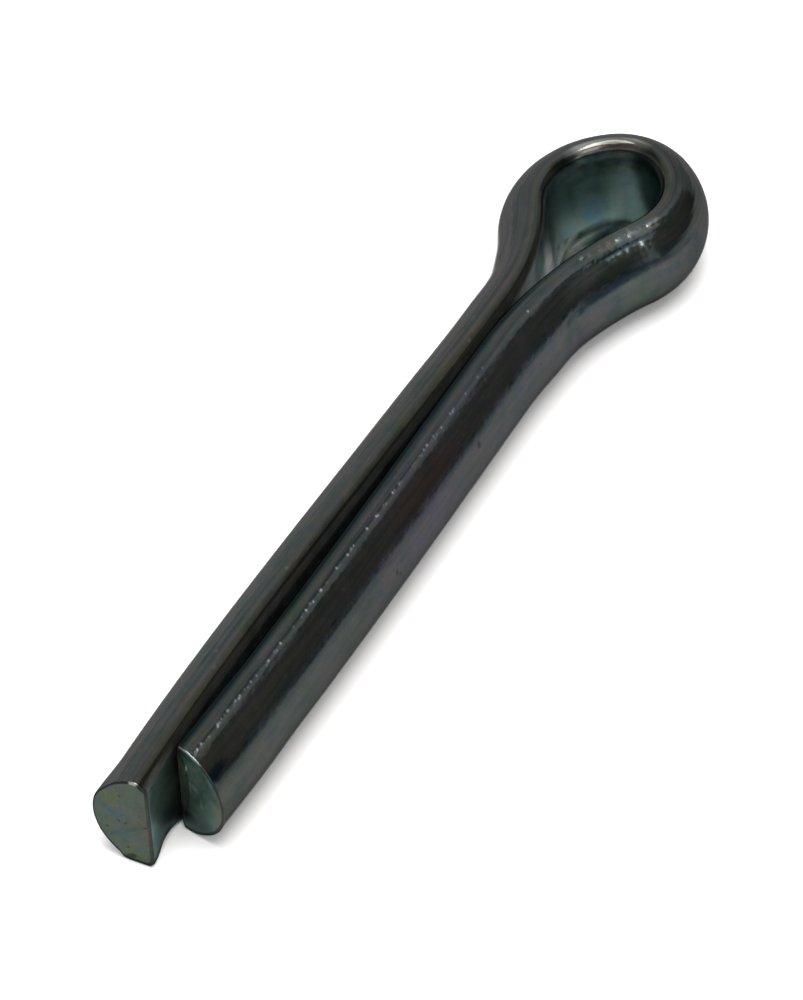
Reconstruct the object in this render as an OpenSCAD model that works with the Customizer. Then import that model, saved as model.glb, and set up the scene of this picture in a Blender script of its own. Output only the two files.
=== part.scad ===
/*
  Cotter pin (split pin).

  One length of half-round wire is folded back on itself, flat side inwards. Its two legs lie side
  by side and make up a round shank, and the fold between them is opened into a teardrop eye. The
  wire stays in one plane, so its flat side draws a single line there: in along the long leg, out
  through a neck bend, round the eye, in through the other neck bend and back along the short leg.
  Every stretch of that line is straight or a true arc, and each one starts where the last one
  ends, in the same direction.

  Frame: the shank's axis is X, and the legs' ends point along +X, the way the pin goes in. The
  origin is on that axis, where the short leg's neck bend is over and the full round shank begins.
  The long leg lies at -Y and the short one at +Y. Z is the height, and the pin lies with its eye
  flat.
*/

/* [Shank] */
// Diameter of the round shank that the two legs make up
shank_d = 9.4; // [9.3:0.05:9.5]
// Gap between the flat sides of the two legs
leg_gap = 0.4; // [0.2:0.1:0.8]
// Length of the short leg, from the origin to its cut end
short_leg = 54.3; // [30:0.1:95]
// How far the long leg reaches past the short one
leg_step = 4.6; // [3.2:0.1:6.3]
// Radius of the wire's two rounded corners, where its flat side meets its round side
corner_r = 0.5; // [0.2:0.05:0.9]

/* [Cut ends] */
// Slant of the long leg's cut end, in degrees: above zero, its round side reaches further out
long_end_slant = 0; // [-15:1:15]
// Slant of the short leg's cut end, in degrees: above zero, its round side reaches further out
short_end_slant = 14; // [-15:1:15]

/* [Long side of the eye] */
// How far the eye's opening reaches from the shank's axis, on the long leg's side
long_reach = 4; // [3.6:0.1:4.6]
// How far the neck bend turns on that side, in degrees
long_neck_turn = 27; // [22:0.5:32]
// Inside radius of the eye's flank on that side
long_flank_r = 6.8; // [6:0.1:7.5]
// How far that flank turns, in degrees
long_flank_turn = 83; // [76:1:90]

/* [Short side of the eye] */
// How far the eye's opening reaches from the shank's axis, on the short leg's side
short_reach = 5.3; // [4.6:0.1:5.8]
// How far the neck bend turns on that side, in degrees
short_neck_turn = 27.5; // [22:0.5:32]
// Inside radius of the eye's flank on that side
short_flank_r = 5.7; // [5:0.1:6.5]
// How far that flank turns, in degrees
short_flank_turn = 83; // [76:1:90]

/* [Hidden] */
$fn = 96;
zinc = [0.44, 0.5, 0.49];

shank_r = shank_d / 2;
flat_y = leg_gap / 2;  // where each leg's flat side is, off the shank's axis
leg_depth = shank_r - flat_y;  // the half-round wire's depth, from its flat side to its crest

// A neck bend and the part of the flank up to the eye's widest point turn by the same angle, one
// out and the other back, so the reach gives the neck's radius.
long_neck_r = (long_reach - flat_y) / (1 - cos(long_neck_turn)) - long_flank_r;
short_neck_r = (short_reach - flat_y) / (1 - cos(short_neck_turn)) - short_flank_r;

// From its widest point to the crown, the eye's far end, a flank turns by what its neck has left.
long_shoulder = long_flank_turn - long_neck_turn;
short_shoulder = short_flank_turn - short_neck_turn;

// The crown turns the rest of the way round, and its radius closes the opening's whole width.
crown_turn = 180 - long_shoulder - short_shoulder;
crown_r =
    (long_reach - long_flank_r * (1 - cos(long_shoulder))
    + short_reach - short_flank_r * (1 - cos(short_shoulder)))
    / (cos(long_shoulder) + cos(short_shoulder));

// Distance along X from where a neck bend begins, on the leg's side, to the centre of the crown
function crown_distance(neck_r, neck_turn, flank_r, shoulder) =
    (neck_r + flank_r) * sin(neck_turn) + (flank_r - crown_r) * sin(shoulder);

// How far behind the origin the long leg's neck bend begins
long_leg_lead =
    crown_distance(short_neck_r, short_neck_turn, short_flank_r, short_shoulder)
    - crown_distance(long_neck_r, long_neck_turn, long_flank_r, long_shoulder);

// Spare length of each leg, for its cut
spare = shank_d;

// Shapes that would otherwise only touch overlap by a hair: every second stretch of the wire is
// that much slimmer than its neighbours, and they run this far into it.
hair = 0.005;
lap = 0.1;

// Each stretch of the line: its length if it is straight, or its radius and turn if it is a bend.
// A turn above zero is to the left. The walk begins at the long leg's end, heading for the eye.
long_end = short_leg + leg_step + spare;
WIRE = [
    [long_end + long_leg_lead, 0],
    [long_neck_r, long_neck_turn],
    [long_flank_r, -long_flank_turn],
    [crown_r, -crown_turn],
    [short_flank_r, -short_flank_turn],
    [short_neck_r, short_neck_turn],
    [short_leg + spare, 0],
];

// The half-round section, slimmer all round by slim: x is the distance out from the line, and y the
// height. The round side is part of the shank's own circle, and a small circle rounds each
// corner off, running into the flat side and the round side.
module wire_section(slim) {
    round_r = shank_r - slim;
    flat_x = flat_y + slim;
    corner_x = flat_x + corner_r;
    corner_y = sqrt(pow(round_r - corner_r, 2) - pow(corner_x, 2));
    translate([-flat_y, 0]) {
        difference() {
            intersection() {
                circle(r = round_r);
                translate([flat_x, -round_r]) square(2 * round_r);
            }
            // The sharp corners come off, as far as the small circles' centres.
            for (side = [-1, 1])
                polygon([
                    [corner_x, side * corner_y],
                    [2 * corner_x, side * 2 * corner_y],
                    [0, side * 2 * corner_y],
                    [0, side * corner_y],
                ]);
        }
        for (side = [-1, 1])
            translate([corner_x, side * corner_y]) circle(r = corner_r + hair);
    }
}

// Stretch i of the wire, setting off from the origin along +X with the wire's depth to its left
module stretch(i) {
    size = WIRE[i][0];
    turn = WIRE[i][1];
    slimmer = i % 2;
    slim = slimmer * hair;
    past = (1 - slimmer) * lap;  // how far it runs past each of its ends
    past_turn = past / size * 180 / PI;  // and the same as a turn of this bend
    if (turn == 0)
        translate([-past, 0, 0]) rotate([90, 0, 90]) linear_extrude(size + 2 * past) wire_section(slim);
    else if (turn > 0)
        translate([0, size, 0])
            rotate_extrude(angle = turn + 2 * past_turn, start = -90 - past_turn)
                translate([size, 0]) mirror([1, 0]) wire_section(slim);
    else
        translate([0, -size, 0])
            rotate_extrude(angle = 2 * past_turn - turn, start = 90 + turn - past_turn)
                translate([size, 0]) wire_section(slim);
}

// Moves its children from the start of stretch i to the end of it
module past_stretch(i) {
    size = WIRE[i][0];
    turn = WIRE[i][1];
    centre_y = sign(turn) * size;
    if (turn == 0)
        translate([size, 0, 0]) children();
    else
        translate([0, centre_y, 0]) rotate([0, 0, turn]) translate([0, -centre_y, 0]) children();
}

// The wire from stretch i onwards, each stretch drawn where the last one ends
module wire_from(i) {
    stretch(i);
    if (i + 1 < len(WIRE))
        past_stretch(i) wire_from(i + 1);
}

// What the shears take off a leg. The leg lies on the side given, -1 or 1, and end_x is where the
// cut crosses the middle of its depth.
module off_cut(end_x, side, slant) {
    middle = flat_y + leg_depth / 2;
    lean = tan(slant);
    translate([0, 0, -shank_d]) linear_extrude(2 * shank_d)
        polygon([
            [end_x - lean * middle, 0],
            [end_x + lean * (shank_d - middle), side * shank_d],
            [end_x + 2 * spare, side * shank_d],
            [end_x + 2 * spare, 0],
        ]);
}

module cotter_pin() {
    color(zinc) difference() {
        translate([long_end, -flat_y, 0]) rotate([0, 0, 180]) wire_from(0);
        off_cut(short_leg + leg_step, -1, long_end_slant);
        off_cut(short_leg, 1, short_end_slant);
    }
}

cotter_pin();
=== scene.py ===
# %% [markdown]
# # A cotter pin
# A cotter pin is one length of half-round wire, folded back on itself with its flat side inwards, and
# zinc plated. The fold is opened into a teardrop eye, and the two legs lie side by side as a round
# shank. The imported model is the frame that the looks are built around: it says where the pin lies and
# how large it is, in metres. Its box is kept here.

import bpy
import numpy as np
from mathutils import Matrix, Vector


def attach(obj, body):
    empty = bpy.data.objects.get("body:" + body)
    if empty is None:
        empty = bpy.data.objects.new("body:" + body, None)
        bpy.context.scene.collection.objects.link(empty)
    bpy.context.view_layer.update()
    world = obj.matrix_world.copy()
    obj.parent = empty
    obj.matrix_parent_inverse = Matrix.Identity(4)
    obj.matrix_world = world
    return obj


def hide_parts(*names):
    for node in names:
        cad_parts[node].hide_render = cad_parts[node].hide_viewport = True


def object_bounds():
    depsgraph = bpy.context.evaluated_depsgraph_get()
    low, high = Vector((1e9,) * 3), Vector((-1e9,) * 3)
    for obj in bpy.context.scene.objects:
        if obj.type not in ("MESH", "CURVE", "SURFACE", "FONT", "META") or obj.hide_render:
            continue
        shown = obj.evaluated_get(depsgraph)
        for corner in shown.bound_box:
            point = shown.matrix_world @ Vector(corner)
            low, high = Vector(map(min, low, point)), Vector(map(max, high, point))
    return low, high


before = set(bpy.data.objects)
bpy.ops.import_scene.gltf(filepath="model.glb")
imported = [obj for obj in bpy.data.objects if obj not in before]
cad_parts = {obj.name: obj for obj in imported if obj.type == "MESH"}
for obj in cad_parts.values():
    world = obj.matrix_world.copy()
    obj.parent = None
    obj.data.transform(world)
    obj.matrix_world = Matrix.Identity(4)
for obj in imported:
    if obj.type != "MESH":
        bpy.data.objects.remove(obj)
cad_box = [list(corner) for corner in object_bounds()]
MM = 0.001
print("the solid reaches", np.round(np.ptp(cad_box, axis=0) / MM, 2), "mm")

# %% [markdown]
# ## Walking along a bent line
# Everything here is swept, so the first helper follows a line that is made of straight stretches and
# arcs. It takes the length and the turn of each one, and gives places on it at any distance from its
# start. The same walk draws the pin's fold, seen from above, and the outline of the wire's section,
# so one formula serves both. An arc could also be traced as many short chords, but then its radius
# would depend on how many there are.


# %% Follow stretches of line
def arc(radius, turn_deg):
    """A bend as (length, turn): its length is the radius times the turn, in radians."""
    return radius * abs(np.radians(turn_deg)), np.radians(turn_deg)


def walk(stretches, start, heading, distance):
    """Points and headings at the given distances along a line of (length, turn) stretches.

    Within a stretch, the heading changes evenly. The chord from its start is as long as the way
    gone times sin(h) / h, where h is half of the turn made so far, and points h past its heading."""
    length, turn = np.array(stretches).T
    ends = np.cumsum(length)
    headings = heading + np.concatenate([[0], np.cumsum(turn)])
    corners = np.zeros((len(length) + 1, 2))
    corners[0] = start
    chord = length * np.sinc(turn / 2 / np.pi)
    toward = headings[:-1] + turn / 2
    corners[1:] = corners[0] + np.cumsum(chord[:, None] * np.stack([np.cos(toward), np.sin(toward)], 1), 0)
    i = np.clip(np.searchsorted(ends, distance, side="right"), 0, len(length) - 1)
    gone = distance - (ends - length)[i]
    turned = turn[i] * gone / length[i]
    chord = gone * np.sinc(turned / 2 / np.pi)
    toward = headings[i] + turned / 2
    points = corners[i] + chord[:, None] * np.stack([np.cos(toward), np.sin(toward)], 1)
    return points, headings[i] + turned


def ends_of(stretches):
    """The distance from the start to the end of each stretch, with 0 first."""
    return np.concatenate([[0], np.cumsum([length for length, turn in stretches])])


print("a quarter turn with a radius of 10 mm is", round(arc(10, 90)[0], 2), "mm long")

# %% [markdown]
# ## The fold, seen from above
# The line is the wire's flat side. It runs in along the long leg, out through a neck bend, round the
# eye over two flanks and a crown, in through the other neck bend and back along the short leg. On
# the real pin the two sides are never quite alike, because the wire is wrapped round a mandrel and
# then pressed shut.

# %% Draw the fold
SHANK_D = 9.4
LEG_GAP = 0.19
SHORT_END = 54.3
LEG_STEP = 4.57
LONG_LEAD = 4.1
NECK_EASE = 0.28
LONG_NECK = arc(27.94, 26.91)
LONG_FLANK = arc(6.81, -82.9)
CROWN = arc(3.41, -68.54)
SHORT_FLANK = arc(6.05, -83.21)
SHORT_NECK = arc(39.58, 27.74)

flat_y = LEG_GAP / 2
long_end = SHORT_END + LEG_STEP
line_start = (long_end, -flat_y)
fold = [(long_end + LONG_LEAD, 0), LONG_NECK, (NECK_EASE, 0), LONG_FLANK, CROWN, SHORT_FLANK,
        (NECK_EASE, 0), SHORT_NECK]
short_from = walk(fold, line_start, np.pi, ends_of(fold)[-1:])[0][0]
fold.append((SHORT_END - short_from[0], 0))
line_length = ends_of(fold)[-1]
print("the fold comes back to", np.round(short_from, 3), "mm; the line is", round(line_length, 1), "mm long")

# %% [markdown]
# ## The section of the wire
# The section is half-round: a flat side, and a round side that is part of the shank's own circle.
# Drawing the wire through a die leaves its two corners rounded. The section is a closed line of arcs
# too, so the same walk gives it: up the flat side, over the top corner, down the round side and
# round the bottom corner. That walk turns to the right, so its left is the way out of the metal.
# Wear and bending have left the upper corner roundest at the eye, and sharpest on the short leg. The
# lower corner is sharper still.

# %% Draw the section
round_r = SHANK_D / 2
SHARP_CORNER = 0.6
SOFT_CORNER = 1.0
LOW_CORNER = 0.4


def corner_place(corner_r):
    """The height of a corner's centre, and the turn that the corner makes in degrees.

    The centre lies the corner's radius in from the flat side and from the circle."""
    out = corner_r + flat_y
    up = np.sqrt((round_r - corner_r) ** 2 - out**2)
    return up, 180 - np.degrees(np.arctan2(up, out))


def half_round(top_r, bottom_r):
    """The section's stretches: the flat side, the top corner, the round side and the bottom corner."""
    top_up, top_turn = corner_place(top_r)
    bottom_up, bottom_turn = corner_place(bottom_r)
    round_turn = top_turn + bottom_turn - 360
    return [
        (top_up + bottom_up, 0),
        arc(top_r, -top_turn),
        arc(round_r, round_turn),
        arc(bottom_r, -bottom_turn),
    ]


def section_at(top_r, bottom_r, part):
    """Points of a section, where part counts whole stretches: 1.5 is halfway along the second."""
    stretches = half_round(top_r, bottom_r)
    distance = np.interp(part, np.arange(len(stretches) + 1), ends_of(stretches))
    return walk(stretches, (0, -corner_place(bottom_r)[0]), np.pi / 2, distance)[0]


sharp_section = half_round(SHARP_CORNER, LOW_CORNER)
section_length = ends_of(sharp_section)[-1]
top_corner = ends_of(sharp_section)[1]
print("the section is", round(section_length, 2), "mm round")

# %% [markdown]
# ## Spacing the points
# The eye, the short leg and the upper side of the wire carry the small detail, and the underside
# carries none. So the points of the grid stand close together where the detail is, and further
# apart elsewhere. A density along the line says how many points there are to the millimetre. Its
# running sum counts them, and the places where the count is whole are read back off it.


# %% Space points by density
def spaced(length, spots, coarse, ease):
    """Distances from 0 to length, coarse apart, and closer inside the spots (from, to, spacing).

    A spot fades in and out over the distance ease, as a smooth step."""
    at = np.linspace(0, length, 8001)
    density = np.full_like(at, 1 / coarse)
    for start, stop, spacing in spots:
        ramp = np.clip(np.minimum(at - start, stop - at) / ease + 0.5, 0, 1)
        density = np.maximum(density, 1 / coarse + (1 / spacing - 1 / coarse) * ramp * ramp * (3 - 2 * ramp))
    count = np.concatenate([[0], np.cumsum((density[1:] + density[:-1]) / 2 * np.diff(at))])
    whole = int(round(count[-1]))
    return np.interp(np.linspace(0, count[-1], whole + 1), count, at)


eye_from = fold[0][0]
FINE_ALONG = [(-5, 2, 0.15), (eye_from, 200, 0.16)]
FINE_ROUND = [(6.5, 16.5, 0.19), (top_corner, 12.6, 0.105)]
along = spaced(line_length, FINE_ALONG, coarse=0.3, ease=4)
around = spaced(section_length, FINE_ROUND, coarse=0.5, ease=1)[:-1]
part = np.interp(around, ends_of(sharp_section), np.arange(5))
print("a grid of", len(along), "by", len(around), "points")

# %% [markdown]
# ## Carrying the section along the fold
# Each point of the wire is a point of the line, moved out from it by the section's depth and up by
# its height. Two things make it this pin, and not a drawing of one. The wire is pulled thinner where
# it is bent, most of all round the eye. And the legs bow apart between the neck and the tips,
# because the bend springs back. A curve object with a bevel could sweep the section too, but it
# turns it about the curve's own middle, and here the flat side has to keep to the line.

# %% Measure the thinning and the bow
EYE_THINNING = 0.108
EYE_THINS_OVER = 6.6
NECK_THINNING = 0.034
LONG_NECK_THINS = (50, 10, 72, 6)
SHORT_NECK_THINS = (96, 6, 116, 6)
LONG_BOW = (0.44, -1.13, 0.11)
SHORT_BOW = (0.274, -0.54, -0.21)


def smooth_step(x):
    """0 below 0, 1 above 1, and 3 x^2 - 2 x^3 between, which starts and ends level."""
    x = np.clip(x, 0, 1)
    return x * x * (3 - 2 * x)


def hump(value, start, rise, stop, fall):
    """0 up to start, 1 from a rise later, 1 until a fall before stop, and 0 from there on."""
    return smooth_step((value - start) / rise) * smooth_step((stop - value) / fall)


def bow(x, start, end, height, lean, tip):
    """How far a leg stands off its straight line: a parabola of that height between start and end,
    leaned towards the start, plus a share of tip that grows with the square of the way along."""
    w = np.clip((x - start) / (end - start), 0, 1)
    return 4 * height * w * (1 - w) * (1 + lean * (1 - 2 * w)) + tip * w * w


line, heading = walk(fold, line_start, np.pi, along)
x = line[:, 0]
thinner = 1 - EYE_THINNING * smooth_step((-LONG_LEAD - x) / EYE_THINS_OVER)
thinner -= NECK_THINNING * (hump(along, *LONG_NECK_THINS) + hump(along, *SHORT_NECK_THINS))
is_long = np.arange(len(x)) < int(np.argmin(x))
long_bow = -bow(x, -LONG_LEAD, long_end, *LONG_BOW)
short_bow = bow(x, short_from[0], SHORT_END, *SHORT_BOW)
sideways = np.where(is_long, long_bow, short_bow)
print("the legs stand off by", np.round([sideways.min(), sideways.max()], 2), "mm")

# %% Carry the section along the fold
SOFTENED = ([70, 83, 100, 120], [0.55, 1, 1, 0])
softer = np.interp(along, *SOFTENED)[:, None, None]
section = section_at(SHARP_CORNER, LOW_CORNER, part)
section = section + softer * (section_at(SOFT_CORNER, LOW_CORNER, part) - section)
depth, height = section[:, :, 0], section[:, :, 1]
depth_way = np.stack([-np.sin(heading), np.cos(heading)], 1)
wire = np.zeros((len(along), len(around), 3))
wire[:, :, :2] = line[:, None] + depth_way[:, None] * (depth * thinner[:, None])[:, :, None]
wire[:, :, 1] += sideways[:, None]
wire[:, :, 2] = height
print("the wire is", np.round([depth.max(), height.max() - height.min()], 2), "mm deep and high")

# %% [markdown]
# ## The leaning wall of the eye
# Wrapping the wire round the mandrel twists it a little. So on the long leg's side, the flat side of
# the wire leans in towards its foot, which is squeezed out into a small flare. The flare is painted
# pale as painted light, with a thin line of painted shadow just above it. A true twist would turn the
# whole section and carry the round side along. Here the shift fades with the depth, so that the wall
# leans and the round side stays where it is.

# %% Lean the wall
WALL = (70, 9, 91, 8)
WALL_LEAN = 1.5
LEAN_TOP = 3.0
LEAN_DEPTH = 3.4
FLARE = 1.15
FLARE_TOP = -3.55
FLARE_HIGH = 0.9
FLARE_DEPTH = 2.4
FLARE_FADE = 2.0

leaning = hump(along, *WALL)[:, None]
lean = WALL_LEAN * np.clip((LEAN_TOP - height) / (LEAN_TOP + round_r), 0, 1)
inner = smooth_step((LEAN_DEPTH - depth) / LEAN_DEPTH)
foot = smooth_step((FLARE_TOP - height) / FLARE_HIGH) * smooth_step((FLARE_DEPTH - depth) / FLARE_FADE)
leaned = leaning * (lean * inner + FLARE * foot)
wire[:, :, :2] -= depth_way[:, None] * leaned[:, :, None]
print("the wall leans by up to", round(float(leaned.max()), 2), "mm")

# %% Mark the painted light and the painted shadow at the foot of the wall
FOOT_TOP = ([76, 78.5, 81.2, 82.7, 84.3, 86.5], [-1.9, -2.6, -3.25, -3.5, -3.65, -3.8])
FOOT_LIGHT_ALONG = ([77.5, 79.3, 81.2, 83], [0.35, 0.95, 0.85, 0])
FOOT_DEPTH = 1.6
FOOT_FADE = 0.8
FACE_EASE = 0.25
SHADOW_LINE_ABOVE = 0.05
SHADOW_LINE_WIDE = 0.12

# painted light: the pale foot of the eye's wall, with a thin painted shadow just above it
foot_top = np.interp(along, *FOOT_TOP)[:, None]
at_foot = leaning * smooth_step((FOOT_DEPTH - depth) / FOOT_FADE)
foot_painted_light = at_foot * smooth_step((foot_top - height) / FACE_EASE) * np.interp(along, *FOOT_LIGHT_ALONG)[:, None]
foot_painted_shadow = at_foot * np.exp(-(((height - foot_top - SHADOW_LINE_ABOVE) / SHADOW_LINE_WIDE) ** 2))
print("the painted pale foot takes", int((foot_painted_light > 0.5).sum()), "points")

# %% [markdown]
# ## The slanted end
# The blade that cut the short leg stood at a slant, so its face isn't square to the leg. A boolean
# cut would leave a ring of uneven triangles there. Here the last few millimetres of rings are pulled
# along the leg instead, each ring by its share, so the grid stays whole.

# %% Slant the short leg's end
SHORT_SLANT = 0.267
SLANT_OVER = 4.0
SLANT_PIVOT = 1.4
slant_share = smooth_step(1 - (SHORT_END - x) / SLANT_OVER) * ~is_long
wire[:, :, 0] += slant_share[:, None] * SHORT_SLANT * (wire[:, :, 1] - SLANT_PIVOT)
print("the wire reaches", np.round(np.ptp(wire.reshape(-1, 3), axis=0), 2), "mm")

# %% [markdown]
# ## A coordinate that follows the wire
# Draw lines, scratches and stains follow the wire round its bends. So every point also gets its
# place on the wire as it was before folding: how far along it lay, how deep from the flat side, and
# how high. The relief below reads that place, and the finish reads it again from the mesh. From it
# comes one more number, how far round the shank's circle a point lies: 90 is the top, 0 the side.

# %% Note the place on the straight wire
ROUND_FROM_DEPTH = 0.4
straight = np.stack([np.broadcast_to(along[:, None], depth.shape), depth, height], -1)
turn_round = np.degrees(np.arctan2(height, flat_y + depth))
is_round = smooth_step(depth / ROUND_FROM_DEPTH)
print("the flat side takes", round(100 * float((depth < 0.01).mean())), "% of the points")

# %% [markdown]
# ## Relief
# A pin like this isn't smooth. Drawing leaves fine lines along it, and a crease where the flash of
# the die was rolled down, with beads of zinc sitting in it. The bending tool bruised the eye, and
# there the plating has the skin of an orange. Such marks could be bump or displacement in the
# material, but real relief also shows in the outline. So all of it is worked out as one height for
# each point, mostly a few hundredths of a millimetre, and then moved out along the surface.


# %% Helpers for relief
def window(value, start, stop, ease):
    """1 between start and stop, 0 outside, with a smooth step of width ease centred on each."""
    return smooth_step((value - start) / ease + 0.5) * smooth_step((stop - value) / ease + 0.5)


def ripple(place, size, seed, waves=48):
    """A random wavy surface of unit strength: a sum of cosines that run in random directions.

    Size is the typical wavelength along each coordinate of the place."""
    rng = np.random.default_rng(seed)
    ways = rng.normal(size=(waves, 3))
    phases = rng.uniform(0, 2 * np.pi, waves)
    return np.cos(2 * np.pi * (place / np.array(size)) @ ways.T + phases).sum(-1) * np.sqrt(2 / waves)


def dots(spots):
    """The sum of round bumps (along, turn round, radius, height): height times exp(-(d / radius)^2)."""
    spots = np.array(spots)
    total = np.zeros_like(turn_round)
    for at, turn, radius, tall in spots:
        near = np.abs(along - at) < 3 * radius
        off_along = (along[near] - at)[:, None]
        off_round = np.radians(turn_round[near] - turn) * round_r
        total[near] += tall * np.exp(-(off_along**2 + off_round**2) / radius**2)
    return total * is_round


print("one bump of 1 mm reaches", int((dots([(100, 60, 1, 1)]) > 0.5).sum()), "points halfway up")

# %% Mark the flat side and the edges
ROUND_PART = (1.2, 3.8, 0.3)
TOP_EDGE = (1.0, 1.95, 0.22)
WORN_EDGE = (1.0, 1.42, 0.16)
WORN_ALONG = ([0, 2, 70, 78, 82, 88, 91, 108, 116], [0.3, 1, 1, 0.6, 0, 0, 0.7, 0.8, 0])
UNDER_EYE_ALONG = (91, 114, 5)
UNDER_EYE_TURN = (-100, 28, 10)
flat_side = np.broadcast_to(1 - window(part, *ROUND_PART), depth.shape)
top_edge = np.broadcast_to(window(part, *TOP_EDGE), depth.shape)
worn_edge = np.interp(along, *WORN_ALONG)[:, None] * window(part, *WORN_EDGE)
under_eye = window(along, *UNDER_EYE_ALONG)[:, None] * window(turn_round, *UNDER_EYE_TURN)
print("the top edge takes", round(100 * float((top_edge > 0.5).mean())), "% of the points")

# %% [markdown]
# ## Marks of the die
# Wire is drawn through a die, which scores it from end to end. Where the die's halves met, a flash
# stood up and was rolled down into a crease, and a fainter seam runs along the shank's side. Lines
# could be cut one by one, but waves that are long along the wire and short across it give them all.

# %% Lines from the die
DRAW_LINES = 0.0028
DRAW_LINE_SIZE = (25, 0.5, 0.5)
WAVER = 0.0024
WAVER_SIZE = (1.3, 0.8, 0.8)
GROOVE_TURN = 70.5
GROOVE_WIDE = 0.09
GROOVE_DEEP = 0.014
GROOVE_ALONG = (-9, 20, 3)
FAINT_GROOVE_ALONG = (24, 36, 4)
FAINT = 0.6
relief = DRAW_LINES * ripple(straight, DRAW_LINE_SIZE, seed=1) * is_round
relief += WAVER * ripple(straight, WAVER_SIZE, seed=2) * is_round
long_groove = window(along, *GROOVE_ALONG) + FAINT * window(along, *FAINT_GROOVE_ALONG)
off_groove = np.radians(turn_round - GROOVE_TURN) * round_r
relief -= GROOVE_DEEP * long_groove[:, None] * np.exp(-((off_groove / GROOVE_WIDE) ** 2)) * is_round
print("the lines span", round(float(np.ptp(relief)), 3), "mm")

# %% The crease and the seam
CREASE_TURN = 69.4
CREASE_WIDE = 0.12
CREASE_DEEP = 0.032
CREASE_SHARE = ([90, 118, 128, 140, 172], [0.0, 0.35, 0.5, 1, 1])
SEAM_TURN = 36.5
SEAM_WIDE = 0.06
SEAM_DEEP = 0.012
SEAM_ALONG = (108, 200, 6)
SEAM_BREAKS_SIZE = (3, 300, 300)
SEAM_WANDERS = 1.5
WANDER = 0.6
WANDER_SIZE = (9, 400, 400)
wander = WANDER * ripple(straight, WANDER_SIZE, seed=3)
off_crease = np.radians(turn_round - CREASE_TURN - wander) * round_r
crease = np.interp(along, *CREASE_SHARE)[:, None] * np.exp(-((off_crease / CREASE_WIDE) ** 2)) * is_round
relief -= CREASE_DEEP * crease
off_seam = np.radians(turn_round - SEAM_TURN - SEAM_WANDERS * wander) * round_r
broken = smooth_step(0.5 + 0.5 * ripple(straight, SEAM_BREAKS_SIZE, seed=6))
broken *= window(along, *SEAM_ALONG)[:, None]
seam = broken * np.exp(-((off_seam / SEAM_WIDE) ** 2)) * is_round
relief -= SEAM_DEEP * seam
print("the relief so far spans", round(float(np.ptp(relief)), 3), "mm")

# %% [markdown]
# ## Beads, specks and pits
# Zinc gathers in the crease as small beads, and the plating bath leaves specks and a few pits. Each
# could be a small sphere, but on a plated skin they are part of the surface. So each is a round bump
# or hollow in the relief, with its place along and round the wire, a radius and a height.

# %% Place the beads in the crease
rng = np.random.default_rng(11)
BEAD_TURN = 67.6
BIG_BEADS = [114.1, 132.6, 138.8, 141.8, 143.4, 146.8, 151.3, 153.8, 158, 164.8, 166.4, 168, 171.1]
BIG_BEAD = (0.085, 0.045)
BIG_BEADS_STRAY = 0.4
SMALL_BEADS = 84
SMALL_BEAD_RADIUS = (0.06, 0.09)
SMALL_BEAD_TALL = (0.006, 0.032)
SMALL_BEADS_STRAY = 1.0
BEADS_FROM = 172
BEADS_OVER = 50
BEADS_CROWD = 1.25


def small_bead(at):
    """A small bead near the crease. Its height is an even draw, squared, so most of them are low."""
    lowest, more = SMALL_BEAD_TALL
    turn, radius = rng.normal(BEAD_TURN, SMALL_BEADS_STRAY), rng.uniform(*SMALL_BEAD_RADIUS)
    return at, turn, radius, lowest + more * rng.uniform(0, 1) ** 2


beads = [(at, rng.normal(BEAD_TURN, BIG_BEADS_STRAY), *BIG_BEAD) for at in BIG_BEADS]
places = BEADS_FROM - BEADS_OVER * rng.uniform(0, 1, SMALL_BEADS) ** BEADS_CROWD
beads += [small_bead(at) for at in places]
print(len(beads), "beads, the tallest", max(bead[3] for bead in beads), "mm")


# %% Scatter specks and pits
def scattered(places, turn, radius, tall):
    """A bump at each place along the wire, with its turn, radius and height drawn between limits."""
    return [(at, rng.uniform(*turn), rng.uniform(*radius), rng.uniform(*tall)) for at in places]


SPECK_RADIUS = (0.07, 0.11)
SHORT_SPECKS = {"turn": (38, 64), "radius": SPECK_RADIUS, "tall": (-0.012, 0.010)}
LONG_SPECKS = {"turn": (60, 84), "radius": SPECK_RADIUS, "tall": (0.006, 0.02)}
PITS_ON_ROUND = [
    (128.3, 22.5, 0.30, -0.05), (143.8, 11, 0.22, -0.05),
    (143.4, 5, 0.20, -0.05), (116.7, 18.6, 0.2, -0.03),
]
specks = scattered(rng.uniform(110, 172, 130), **SHORT_SPECKS)
specks += scattered(rng.uniform(1, 60, 14), **LONG_SPECKS)
relief += dots(beads + specks + PITS_ON_ROUND)
print(len(specks), "specks and", len(PITS_ON_ROUND), "pits")

# %% [markdown]
# ## The bruise on the eye
# The mandrel and the press left a bruise on the near side of the eye: a patch of orange skin, a struck
# line with a lip below it, and bright points: small bumps that also carry painted highlights in the
# colour. The bruise is made of the same windows, waves and bumps as before, because it lies on the
# same skin.

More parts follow.
